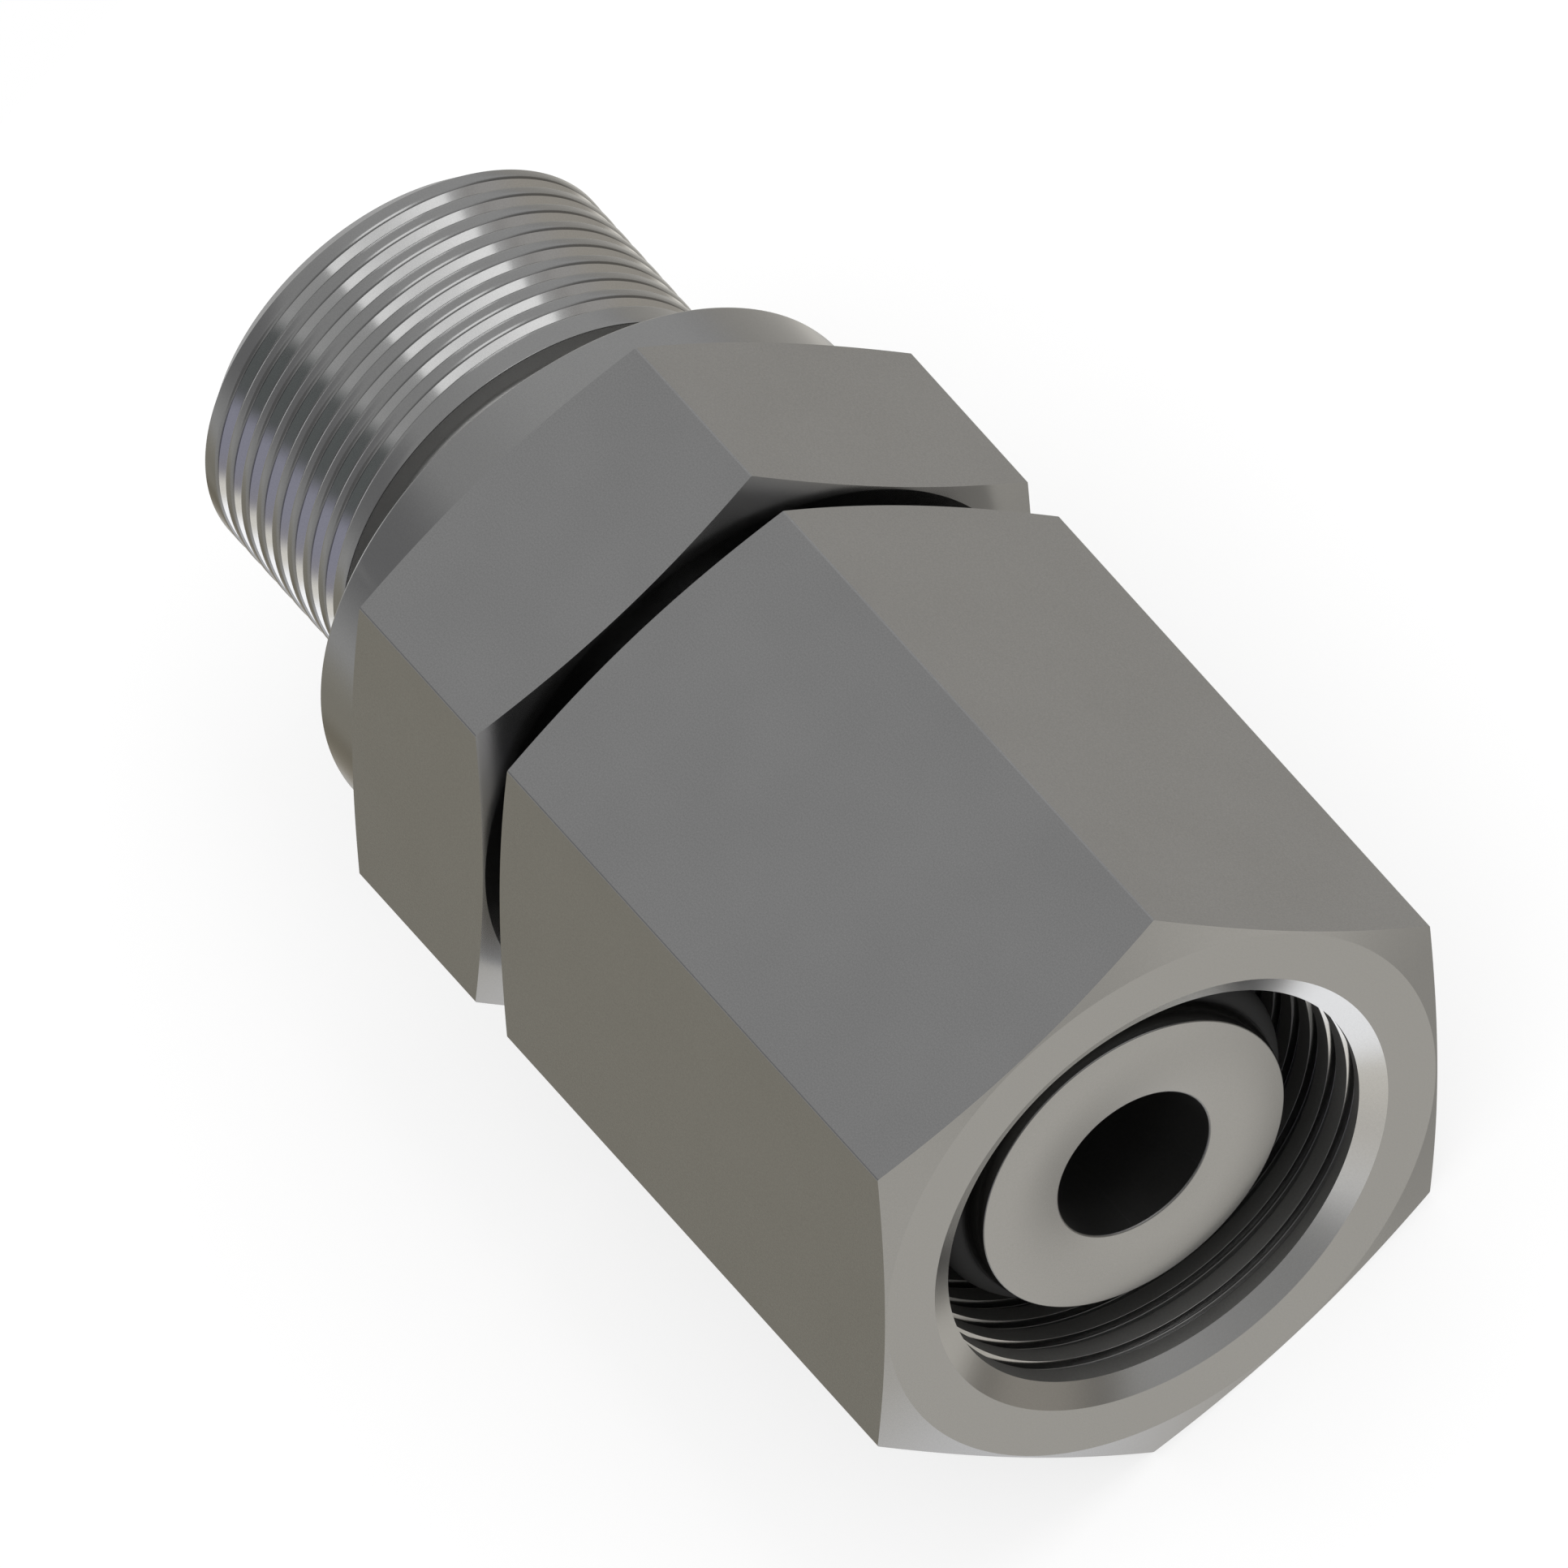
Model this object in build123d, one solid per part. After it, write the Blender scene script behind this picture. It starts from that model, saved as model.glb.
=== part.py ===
from build123d import *
import os
from math import cos, radians, tan

# Straight stud fitting with a swivel nut on a 24 degree cone end, in millimetres.
# The axis is X. The origin is where the axis crosses the collar's sealing face.
# The threaded stud points to -X and the nut's open end to +X.
# Both hexagons lie with a flat down and a flat up, and their corners point to +Y and -Y.

# Hexagons of the body and the nut
hex_chamfer_angle = 15.0
hex_chamfer_bite = 0.08

# Threaded stud
stud_thread_diameter = 16.42
stud_length = 12.0
stud_chamfer = 0.74
relief_width = 2.75
relief_depth = 0.96
relief_corner = 0.3

# Collar with the soft seal in its face
collar_width = 2.1
collar_edge = 0.15
collar_step = 0.05
seal_rim = 1.5
seal_width = 2.1
seal_thickness = 1.5
seal_proud = 0.2
seal_corner = 0.2
seal_clearance = 0.1

# Body hexagon and the gap behind the nut
body_hex_length = 8.1
nut_gap = 1.0

# Stem with its cone nose
flow_bore_diameter = 6.0
stem_clearance = 0.99
stem_root_corner = 0.3
cone_depth = 1.2
nose_recess = 1.7
cone_half_angle = 12.0

# Seal ring on the cone
o_ring_cord = 1.8
o_ring_sink = 0.05
o_ring_setback = 1.95
o_ring_side_clearance = 0.15
o_ring_floor_clearance = 0.03

# Swivel nut
nut_length = 23.8
nut_thread_minor_diameter = 16.38
nut_thread_length = 12.5
nut_mouth_width = 0.84
nut_mouth_angle = 120.0
nut_relief_depth = 0.91
nut_relief_width = 2.0
nut_wall = 1.9
nut_shoulder_angle = 45.0
nut_running_clearance = 0.08
nut_back_edge = 0.3

# Split spring ring that holds the nut on the stem
ring_width = 1.6
ring_depth = 1.6
ring_edge = 0.2
ring_setback = 5.0
ring_split_angle = 16.0
ring_side_clearance = 0.05
ring_outer_clearance = 0.05
ring_snap_clearance = 0.1
nut_float = 0.9

# Radii that follow from the stud's thread, outwards to the collar
stud_thread_radius = stud_thread_diameter / 2
relief_radius = stud_thread_radius - relief_depth
seal_inner_radius = relief_radius + seal_clearance
seal_outer_radius = seal_inner_radius + seal_width
collar_radius = seal_outer_radius + seal_rim

# Radii that follow from the nut's thread, inwards to the stem
nut_thread_radius = nut_thread_minor_diameter / 2
nut_mouth_radius = nut_thread_radius + nut_mouth_width
nut_relief_radius = nut_thread_radius + nut_relief_depth
stem_radius = nut_thread_radius - stem_clearance
nose_radius = stem_radius - cone_depth
o_ring_centre_radius = nose_radius - o_ring_sink
flow_bore_radius = flow_bore_diameter / 2
nut_back_bore_radius = stem_radius + nut_running_clearance
ring_centre_radius = nut_back_bore_radius
ring_outer_radius = ring_centre_radius + ring_depth / 2
ring_groove_floor = stem_radius - ring_depth - ring_snap_clearance

# One wrench fits both hexagons, so the side that needs more metal sets the size
across_flats = 2 * max(nut_relief_radius + nut_wall, collar_radius + collar_step)

# Places along the axis
stud_end = -stud_length
seal_floor = seal_thickness - seal_proud
body_back = collar_width
body_front = body_back + body_hex_length
nut_back = body_front + nut_gap
nut_front = nut_back + nut_length
nose_face = nut_front - nose_recess
o_ring_place = nose_face - o_ring_setback
ring_place = nut_back + ring_setback


def turned(corners):
    """A solid turned about the axis, from its (place, radius) corners in the order of its outline."""
    return revolve(make_face(Polyline(*corners, close=True)), Axis.X)


def chamfered_hexagon(start, end):
    """A hexagon bar between two places on the axis, with its corners turned off at both ends."""
    length = end - start
    corner_radius = across_flats / 2 / cos(radians(30))
    face_radius = across_flats / 2 - hex_chamfer_bite
    turning_radius = corner_radius * 1.1
    run = (turning_radius - face_radius) * tan(radians(hex_chamfer_angle))
    end_plane = Plane(origin=(start, 0, 0), x_dir=(0, 1, 0), z_dir=(1, 0, 0))
    section = end_plane * RegularPolygon(corner_radius, 6)
    blank = turned([
        (start, 0),
        (start, face_radius),
        (start + run, turning_radius),
        (end - run, turning_radius),
        (end, face_radius),
        (end, 0),
    ])
    return extrude(section, length) & blank


def cone_radius(place):
    """Radius of the 24 degree cone, which widens from the nose face towards the body."""
    return nose_radius + (nose_face - place) * tan(radians(cone_half_angle))


def stud_and_collar():
    """The stud with its lead-in chamfer and relief, and the collar with the seal's recess."""
    recess_radius = seal_outer_radius + seal_clearance
    blank = turned([
        (stud_end, 0),
        (stud_end, stud_thread_radius - stud_chamfer),
        (stud_end + stud_chamfer, stud_thread_radius),
        (-relief_width, stud_thread_radius),
        (-relief_width, relief_radius),
        (seal_floor, relief_radius),
        (seal_floor, recess_radius),
        (0, recess_radius),
        (0, collar_radius - collar_edge),
        (collar_edge, collar_radius),
        (body_back, collar_radius),
        (body_back + body_hex_length / 2, collar_radius),
        (body_back + body_hex_length / 2, 0),
    ])
    inner_corner = blank.edges().filter_by(GeomType.CIRCLE).filter_by(
        lambda edge: abs(edge.radius - relief_radius) < 0.001 and abs(edge.center().X + relief_width) < 0.001
    )
    return chamfer(inner_corner, relief_corner)


def stem():
    """The stem that the nut turns on, with the ring's groove, the cone and the seal's groove."""
    cone_end = nose_face - (stem_radius - nose_radius) / tan(radians(cone_half_angle))
    ring_groove_front = ring_place + ring_width / 2 + ring_side_clearance
    ring_groove_back = ring_place - ring_width / 2 - ring_side_clearance - nut_float
    seal_groove_front = o_ring_place + o_ring_cord / 2 + o_ring_side_clearance
    seal_groove_back = o_ring_place - o_ring_cord / 2 - o_ring_side_clearance
    seal_groove_radius = o_ring_centre_radius - o_ring_cord / 2 - o_ring_floor_clearance
    return turned([
        (body_front - body_hex_length / 2, 0),
        (body_front - body_hex_length / 2, stem_radius + stem_root_corner),
        (body_front, stem_radius + stem_root_corner),
        (body_front + stem_root_corner, stem_radius),
        (ring_groove_back, stem_radius),
        (ring_groove_back, ring_groove_floor),
        (ring_groove_front, ring_groove_floor),
        (ring_groove_front, stem_radius),
        (cone_end, stem_radius),
        (seal_groove_back, cone_radius(seal_groove_back)),
        (seal_groove_back, seal_groove_radius),
        (seal_groove_front, seal_groove_radius),
        (seal_groove_front, cone_radius(seal_groove_front)),
        (nose_face, nose_radius),
        (nose_face, 0),
    ])


def make_stud_body():
    """The one turned piece: threaded stud, collar, body hexagon, stem and cone nose."""
    end_plane = Plane(origin=(stud_end, 0, 0), x_dir=(0, 1, 0), z_dir=(1, 0, 0))
    bore = extrude(end_plane * Circle(flow_bore_radius), nose_face - stud_end)
    return chamfered_hexagon(body_back, body_front) + stud_and_collar() + stem() - bore


def make_swivel_nut():
    """The nut: hexagon outside, and thread, relief, shoulder, ring groove and running bore inside."""
    mouth_depth = nut_mouth_width / tan(radians(nut_mouth_angle / 2))
    thread_end = nut_front - nut_thread_length
    relief_end = thread_end - nut_relief_width
    shoulder_run = (nut_relief_radius - nut_back_bore_radius) / tan(radians(nut_shoulder_angle))
    groove_radius = ring_outer_radius + ring_outer_clearance
    groove_half_width = ring_width / 2 + ring_side_clearance
    opening = turned([
        (nut_back, 0),
        (nut_back, nut_back_bore_radius + nut_back_edge),
        (nut_back + nut_back_edge, nut_back_bore_radius),
        (ring_place - groove_half_width, nut_back_bore_radius),
        (ring_place - groove_half_width, groove_radius),
        (ring_place + groove_half_width, groove_radius),
        (ring_place + groove_half_width, nut_back_bore_radius),
        (relief_end - shoulder_run, nut_back_bore_radius),
        (relief_end, nut_relief_radius),
        (thread_end, nut_relief_radius),
        (thread_end, nut_thread_radius),
        (nut_front - mouth_depth, nut_thread_radius),
        (nut_front, nut_mouth_radius),
        (nut_front, 0),
    ])
    return chamfered_hexagon(nut_back, nut_front) - opening


def make_retaining_ring():
    """A square wire bent to a ring, with a split so that it can be squeezed into the stem's groove."""
    wire = Pos(ring_place, ring_centre_radius) * Rectangle(ring_width, ring_depth)
    broken_wire = chamfer(wire.vertices(), ring_edge)
    half_split = Rot(X=ring_split_angle / 2)
    return half_split * revolve(broken_wire, Axis.X, 360 - ring_split_angle)


def make_nose_o_ring():
    """The rubber ring that stands a little proud of the cone."""
    cord = Pos(o_ring_place, o_ring_centre_radius) * Circle(o_ring_cord / 2)
    return revolve(cord, Axis.X)


def make_stud_seal():
    """The flat soft seal in the collar's face, a little proud of it, with broken edges."""
    ring = turned([
        (-seal_proud, seal_inner_radius),
        (-seal_proud, seal_outer_radius),
        (seal_floor, seal_outer_radius),
        (seal_floor, seal_inner_radius),
    ])
    outside_edges = ring.edges().filter_by(GeomType.CIRCLE).group_by(Axis.X)[0]
    return chamfer(outside_edges, seal_corner)


pieces = {
    "stud_body": make_stud_body(),
    "swivel_nut": make_swivel_nut(),
    "retaining_ring": make_retaining_ring(),
    "nose_o_ring": make_nose_o_ring(),
    "stud_seal": make_stud_seal(),
}

os.makedirs("parts", exist_ok=True)
for name, piece in pieces.items():
    export_step(piece, f"parts/{name}.step")
    print(name, round(piece.volume, 2))
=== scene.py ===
import math

import bmesh
import bpy
import numpy as np
from mathutils import Matrix, Vector


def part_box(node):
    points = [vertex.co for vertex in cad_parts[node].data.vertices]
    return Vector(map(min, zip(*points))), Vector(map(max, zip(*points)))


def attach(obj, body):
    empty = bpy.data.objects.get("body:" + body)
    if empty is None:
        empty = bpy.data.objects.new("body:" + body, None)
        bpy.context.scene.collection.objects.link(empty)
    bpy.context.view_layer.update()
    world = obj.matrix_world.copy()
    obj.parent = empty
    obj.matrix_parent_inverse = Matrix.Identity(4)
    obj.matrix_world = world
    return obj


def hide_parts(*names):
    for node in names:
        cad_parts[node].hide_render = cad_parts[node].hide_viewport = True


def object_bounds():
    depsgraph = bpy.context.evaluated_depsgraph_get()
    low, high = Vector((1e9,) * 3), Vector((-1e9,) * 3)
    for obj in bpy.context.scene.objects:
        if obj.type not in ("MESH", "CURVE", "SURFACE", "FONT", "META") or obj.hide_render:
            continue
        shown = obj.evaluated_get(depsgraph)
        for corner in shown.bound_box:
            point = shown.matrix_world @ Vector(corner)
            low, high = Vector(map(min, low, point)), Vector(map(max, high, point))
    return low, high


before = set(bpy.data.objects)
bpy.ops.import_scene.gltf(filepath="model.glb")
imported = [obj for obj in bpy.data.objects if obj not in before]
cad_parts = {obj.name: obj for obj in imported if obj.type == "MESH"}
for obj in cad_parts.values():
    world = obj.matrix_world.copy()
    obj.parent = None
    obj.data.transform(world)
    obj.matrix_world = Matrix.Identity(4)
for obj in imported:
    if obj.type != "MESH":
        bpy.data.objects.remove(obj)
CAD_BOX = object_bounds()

bl_info = {
    "name": "Swivel stud fitting",
    "version": (1, 0, 0),
    "blender": (4, 5, 0),
    "location": "3D View > Sidebar > Fitting",
    "description": "Dresses the packed swivel stud fitting with threads, machined finishes and a plain stage",
    "category": "Add Mesh",
}

MM = 0.001
BODY_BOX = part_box("stud_body")
NUT_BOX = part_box("swivel_nut")

# Framing of the picture: its width, its scale, and where it shows the centre of the nut's front
PICTURE_WIDTH = 1932
PIXELS_PER_MM = 36.83
NUT_FRONT_ACROSS = 1431.19
NUT_FRONT_DOWN = 1472.10
PICTURE_RIGHT = Vector((0.5434, 0.7285, -0.4206))
PICTURE_UP = Vector((-0.5990, 0.6851, 0.4128))
CAMERA_DISTANCE = 0.4

# Hexagons
HEX_CHAMFER_ANGLE = 15.0
HEX_CHAMFER_BITE = 0.08 * MM

# Stud and collar
BORE_RADIUS = 3.0 * MM
BORE_RIM = 0.3 * MM
STUD_CREST_RADIUS = 8.21 * MM
STUD_CHAMFER = 0.74 * MM
STUD_THREAD_END = -3.25 * MM
STUD_FLANKS = (45.0, 30.0)
STUD_ENTRY_START = 0.70
STUD_ENTRY_TURNS = 0.30
STUD_RUN_OUT_TURNS = 0.62
RELIEF_START = -2.75 * MM
RELIEF_RADIUS = 7.25 * MM
RELIEF_CORNER = 0.35 * MM
SEAL_RECESS_FLOOR = 1.3 * MM
SEAL_RECESS_RADIUS = 9.55 * MM
COLLAR_WIDTH = 2.1 * MM
COLLAR_RADIUS = 10.95 * MM

# Stem and nose
BODY_FRONT = 10.2 * MM
STEM_RADIUS = 7.2 * MM
STEM_GROOVE_START = 14.45 * MM
STEM_GROOVE_RADIUS = 5.5 * MM
RING_GROOVE_END = 17.05 * MM
O_RING_GROOVE_START = 30.3 * MM
O_RING_GROOVE_END = 32.4 * MM
O_RING_GROOVE_RADIUS = 5.02 * MM
NOSE_RADIUS = 6.0 * MM
CONE_HALF_ANGLE = 12.0
CONE_DEPTH = 1.2 * MM

# Inside of the nut
NUT_CREST_RADIUS = 8.19 * MM
NUT_THREAD_LENGTH = 12.5 * MM
NUT_FLANK = 15.0
NUT_GROOVE_EDGES = (0.02 * MM, 0.03 * MM)
NUT_GROOVE_ROOT = 0.04 * MM
NUT_LAST_TURN = 50 / 360
NUT_RUN_OUT_STEEPNESS = 6.0
MOUTH_RADIUS = 9.03 * MM
MOUTH_HALF_ANGLE = 60.0
NUT_RELIEF_RADIUS = 9.1 * MM
SHOULDER_START = 18.68 * MM
SHOULDER_END = 20.5 * MM
NUT_GROOVE_START = 15.35 * MM
NUT_GROOVE_RADIUS = 8.13 * MM
NUT_BORE_RADIUS = 7.28 * MM
NUT_BACK_EDGE = 0.3 * MM

# Plain land beside a thread, and a place in metres that lies beyond the whole part
THREAD_LAND = 0.05 * MM
FAR = 1.0

# Finishes of the turned pieces, with their materials in the same order. Several differ only in painted light:
# the thread and bright finishes paint highlights, the faced finish is a brighter copy that paints light on
# the square faces, and the bore finish also paints shade on the nut thread's groove floor.
STEEL_ORDER = ("flats", "faced", "turned", "bright", "thread", "inside", "recess", "bore")
STEEL_MATERIALS = (
    "drawn_flats", "faced_ends", "turned_sides", "bright_chamfers",
    "thread_flanks", "inside_thread", "rough_recess", "drilled_bore",
)

# Materials of the rings and seals that keep their solids' meshes
RING_MATERIALS = {
    "retaining_ring": "spring_wire",
    "nose_o_ring": "o_ring_rubber",
    "stud_seal": "seal_rubber",
}

# Lamps: places, directions and sizes
PART_MIDDLE = Vector((0.0115, 0.0, 0.0))
KEY_PLACE = Vector((0.10, 0.30, 0.42))
KEY_SIZE = 0.26
STRIP_DIRECTION = Vector((0.783, 0.452, 0.427))
STRIP_ALONG = Vector((0.185, -0.845, 0.500))
STRIP_DISTANCE = 0.45
STRIP_WIDTH = 0.46
STRIP_HEIGHT = 0.19

# Tint that metal mirrors from below
FLOOR_TINT = (1.0, 0.968, 0.895, 1.0)
WHITE = (1.0, 1.0, 1.0, 1.0)

# Screens and pale cards that only metal mirrors: azimuth from +X towards +Y, elevation, inner and outer
# spread in degrees, and the share of each colour that is left
SCREENS = (
    (15, 20, 36, 50, (0.40, 0.40, 0.40)),
    (63, -22, 26, 38, (0.36, 0.35, 0.34)),
    (45, -65, 14, 28, (0.62, 0.62, 0.62)),
    (-8, -54, 8, 20, (1.10, 1.10, 1.10)),
    (-80, -55, 20, 31, (1.58, 1.65, 1.84)),
    (-38, 22, 14, 22, (0.12, 0.13, 0.13)),
    (-85, 40, 16, 28, (0.38, 0.38, 0.38)),
    (-58, -3, 15, 24, (0.34, 0.34, 0.42)),
    (-134, 31, 6, 28, (0.57, 0.57, 0.58)),
    (-127, -8, 4, 14, (1.20, 1.20, 1.20)),
    (-131, -27, 12, 26, (0.711, 0.697, 0.640)),
    (130, -24, 14, 28, (0.84, 0.84, 0.85)),
    (-140, -43, 6, 16, (0.60, 0.57, 0.52)),
    (180, -40, 10, 22, (0.62, 0.64, 0.69)),
    (-156, -3, 5, 10, (2.60, 2.60, 2.70)),
)


def length(name, description, default, low=0.0, high=0.1):
    """A property that holds a length in metres."""
    return bpy.props.FloatProperty(
        name=name, description=description, default=default, min=low, max=high,
        unit="LENGTH", subtype="DISTANCE", precision=5,
    )


def colour(name, description, default):
    """A property that holds a linear colour."""
    return bpy.props.FloatVectorProperty(
        name=name, description=description, default=default, size=3, min=0.0, max=1.0, subtype="COLOR",
    )


def share(name, description, default, high=1.0):
    """A property that holds a plain factor."""
    return bpy.props.FloatProperty(
        name=name, description=description, default=default, min=0.0, max=high, subtype="FACTOR",
    )


def amount(name, description, default, high=100.0):
    """A property that holds a plain number."""
    return bpy.props.FloatProperty(name=name, description=description, default=default, min=0.0, max=high)


class FittingShape(bpy.types.PropertyGroup):
    """Sizes of the fine shapes that this file builds."""

    columns: bpy.props.IntProperty(
        name="Columns", description="Faces round the axis of every turned piece",
        default=240, min=48, max=480,
    )
    edge_break: length("Edge break", "Radius of the broken edges of turned faces", 0.06 * MM)
    hexagon_corner: length("Hexagon corner", "Radius of the long corners of both hexagons", 0.10 * MM)
    stud_pitch: length("Stud pitch", "Spacing of the outside thread's turns", 0.949 * MM)
    stud_groove_depth: length("Stud groove depth", "Depth of the outside thread", 0.33 * MM)
    stud_front_edge: length("Stud front edge", "Rounding of a ridge towards the nut", 0.10 * MM)
    stud_back_edge: length("Stud back edge", "Rounding of a ridge towards the stud's end", 0.26 * MM)
    stud_root: length("Stud root", "Rounding at the bottom of the outside thread", 0.08 * MM)
    nut_pitch: length("Nut pitch", "Spacing of the inside thread's turns", 1.13 * MM)
    nut_groove_depth: length("Nut groove depth", "Depth of the inside thread", 0.30 * MM)
    nut_crest: length("Nut crest", "Width of the inside thread's crest", 0.72 * MM)


class FittingFinish(bpy.types.PropertyGroup):
    """Colours and gloss of the finishes. The thread and bright colours paint highlights, the faced colour
    paints light on the square faces, and the bore colour also paints shade on the nut thread's groove floor.
    """

    flats: colour("Hexagon flats", "Colour of the drawn bar's flats", (0.225, 0.225, 0.225))
    # The faced colour is brighter than the turned and flat steel of the same plating: painted light on the
    # faces square to the axis, the nose and the hexagon chamfers.
    faced: colour("Faced ends", "Colour of the faces cut square to the axis", (0.365, 0.364, 0.363))
    turned: colour("Turned sides", "Colour of the turned sides and cones", (0.222, 0.222, 0.221))
    # The countersink colour is far brighter than the other steel: a painted highlight.
    bright: colour("Bright chamfers", "Colour of the nut's countersink", (0.560, 0.557, 0.548))
    # The thread colour is far brighter than the other steel: it paints a highlight on one flank strip of
    # every groove.
    thread: colour("Thread flanks", "Colour of both threads' bright flanks", (0.700, 0.700, 0.696))
    inside: colour("Inside thread", "Colour of the inside thread's dull crests", (0.340, 0.336, 0.325))
    recess: colour("Recess", "Colour of the relief groove and the seal's recess", (0.450, 0.448, 0.440))
    # The bore colour also darkens the nut thread's groove floor, as painted shade.
    bore: colour("Bore", "Colour of the drilled bore", (0.240, 0.238, 0.235))
    spring: colour("Spring wire", "Colour of the split ring's spring steel", (0.330, 0.335, 0.350))
    rubber: colour("O-ring rubber", "Colour of the nose's rubber ring", (0.030, 0.030, 0.031))
    seal: colour("Seal rubber", "Colour of the collar's soft seal", (0.022, 0.022, 0.023))
    roughness: share("Roughness", "Roughness of the plated steel", 0.22)


class FittingStage(bpy.types.PropertyGroup):
    """Floor, lamps and camera."""

    floor_radius: length("Floor radius", "Radius of the round floor", 0.050, high=5.0)
    key_strength: amount("Key strength", "Radiance of the large soft lamp above", 1.8)
    strip_strength: amount("Strip strength", "Radiance of the long narrow soft lamp", 0.58)
    studio_light: amount("Studio light", "Strength of the light that comes from all round", 0.62)
    image_scale: length(
        "Image scale", "Length that the picture's width covers at the object",
        PICTURE_WIDTH / PIXELS_PER_MM * MM, high=1.0,
    )


# Turned outlines

def eased(corners, radius, steps=3):
    """Outline points (place, radius, crease), where a corner given as (place, radius, share) is rounded.

    A corner without a share stays a crease, and the first and the last point aren't corners.
    """
    points = []
    for index, corner in enumerate(corners):
        here = np.array(corner[:2], float)
        easing = corner[2] * radius if len(corner) > 2 else 0.0
        inside = 0 < index < len(corners) - 1
        if easing <= 0.0 or not inside:
            points.append((*here, inside))
            continue
        before = np.array(corners[index - 1][:2], float) - here
        after = np.array(corners[index + 1][:2], float) - here
        reach_before = np.linalg.norm(before)
        reach_after = np.linalg.norm(after)
        before = before / reach_before
        after = after / reach_after
        half_angle = math.acos(max(-1.0, min(1.0, float(before @ after)))) / 2
        run = min(easing / math.tan(half_angle), reach_before * 0.45, reach_after * 0.45)
        fillet = run * math.tan(half_angle)
        middle = here + (before + after) / np.linalg.norm(before + after) * fillet / math.sin(half_angle)
        start = here + before * run - middle
        end = here + after * run - middle
        sweep = math.pi - 2 * half_angle
        for step in range(steps + 1):
            part = step / steps
            ray = start * math.sin((1 - part) * sweep) + end * math.sin(part * sweep)
            points.append((*(middle + ray / math.sin(sweep)), False))
    return points


def column_angles(columns, corner_angle):
    """Angles for one full turn from a hexagon's corner, with a few more at each corner."""
    per_side = columns // 6
    tangents = [corner_angle * step / 3 for step in range(1, 4)]
    side = [0.0] + tangents
    side += list(np.linspace(corner_angle, math.pi / 3 - corner_angle, per_side)[1:-1])
    side += [math.pi / 3 - tangent for tangent in reversed(tangents)]
    angles = [side_index * math.pi / 3 + angle for side_index in range(6) for angle in side]
    return np.array(angles + [2 * math.pi])


def hexagon_radius(angles, across_flats, corner):
    """Distance from the axis to a hexagon's outline with rounded corners, at each angle."""
    inner = across_flats / 2
    folded = np.abs((angles % (math.pi / 3)) - math.pi / 6)
    flat = inner / np.cos(folded)
    from_corner = math.pi / 6 - folded
    middle = inner / math.cos(math.pi / 6) - corner / math.cos(math.pi / 6)
    inside = corner ** 2 - (middle * np.sin(from_corner)) ** 2
    rounded = middle * np.cos(from_corner) + np.sqrt(np.maximum(inside, 0.0))
    return np.where(inside > 0.0, np.minimum(flat, rounded), flat)


def corner_reach(across_flats, corner):
    """Angle from a hexagon's corner to where its rounding meets the flat."""
    inner = across_flats / 2
    middle = inner / math.cos(math.pi / 6) - corner / math.cos(math.pi / 6)
    return math.atan2(corner * math.sin(math.pi / 6), middle + corner * math.cos(math.pi / 6))


class Outline:
    """The rings of a turned piece in order, each with a place and a radius at every column and a finish."""

    def __init__(self, angles):
        self.angles = angles
        self.rings = []
        self.finishes = []
        self.creases = []

    def ring(self, place, radius, finish, crease=False):
        """Adds one ring. The finish is that of the strip from this ring to the next."""
        count = len(self.angles)
        places = np.broadcast_to(place, count).astype(float)
        radii = np.broadcast_to(radius, count).astype(float)
        self.rings.append((places, radii))
        self.finishes.append(finish)
        self.creases.append(crease)

    def path(self, points, finish):
        """Adds one ring for each (place, radius, crease) point."""
        for place, radius, crease in points:
            self.ring(place, radius, finish, crease)

    def mesh(self, name, materials):
        """A closed mesh through all rings, with doubled points joined and the creases marked sharp."""
        places = np.array([ring[0] for ring in self.rings])
        radii = np.array([ring[1] for ring in self.rings])
        rings, columns = places.shape
        corners = np.stack([places, radii * np.cos(self.angles), radii * np.sin(self.angles)], axis=-1)
        keys = np.round(corners.reshape(-1, 3) * 1e8).astype(np.int64)
        unique, index = np.unique(keys, axis=0, return_inverse=True)
        index = index.reshape(rings, columns)
        points = unique / 1e8
        faces = []
        slots = []
        order = {material: slot for slot, material in enumerate(materials)}
        for ring in range(rings):
            following = (ring + 1) % rings
            slot = order[self.finishes[ring]]
            for column in range(columns - 1):
                quad = (
                    index[ring, column], index[ring, column + 1],
                    index[following, column + 1], index[following, column],
                )
                face = list(dict.fromkeys(int(corner) for corner in quad))
                if len(face) > 2:
                    faces.append(face)
                    slots.append(slot)
        mesh = bpy.data.meshes.new(name)
        mesh.from_pydata([tuple(point) for point in points], [], faces)
        mesh.polygons.foreach_set("material_index", slots)
        mesh.update()
        creased = {
            tuple(sorted((int(index[ring, column]), int(index[ring, column + 1]))))
            for ring in range(rings) if self.creases[ring] for column in range(columns - 1)
        }
        sharp = [tuple(sorted(edge.vertices)) in creased for edge in mesh.edges]
        mesh.edges.foreach_set("use_edge_sharp", sharp)
        return mesh


def finish_mesh(piece):
    """Cleans a piece's mesh, turns its faces outwards and shades it smooth between its creases."""
    mesh = piece.data
    work = bmesh.new()
    work.from_mesh(mesh)
    bmesh.ops.dissolve_degenerate(work, dist=1e-8, edges=work.edges[:])
    bmesh.ops.recalc_face_normals(work, faces=work.faces[:])
    loose = [vert for vert in work.verts if not vert.link_faces]
    bmesh.ops.delete(work, geom=loose, context="VERTS")
    for face in work.faces:
        face.smooth = True
    work.to_mesh(mesh)
    work.free()
    weighted = piece.modifiers.new("weighted normals", "WEIGHTED_NORMAL")
    weighted.mode = "FACE_AREA"
    weighted.keep_sharp = True
    weighted.weight = 80


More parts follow.
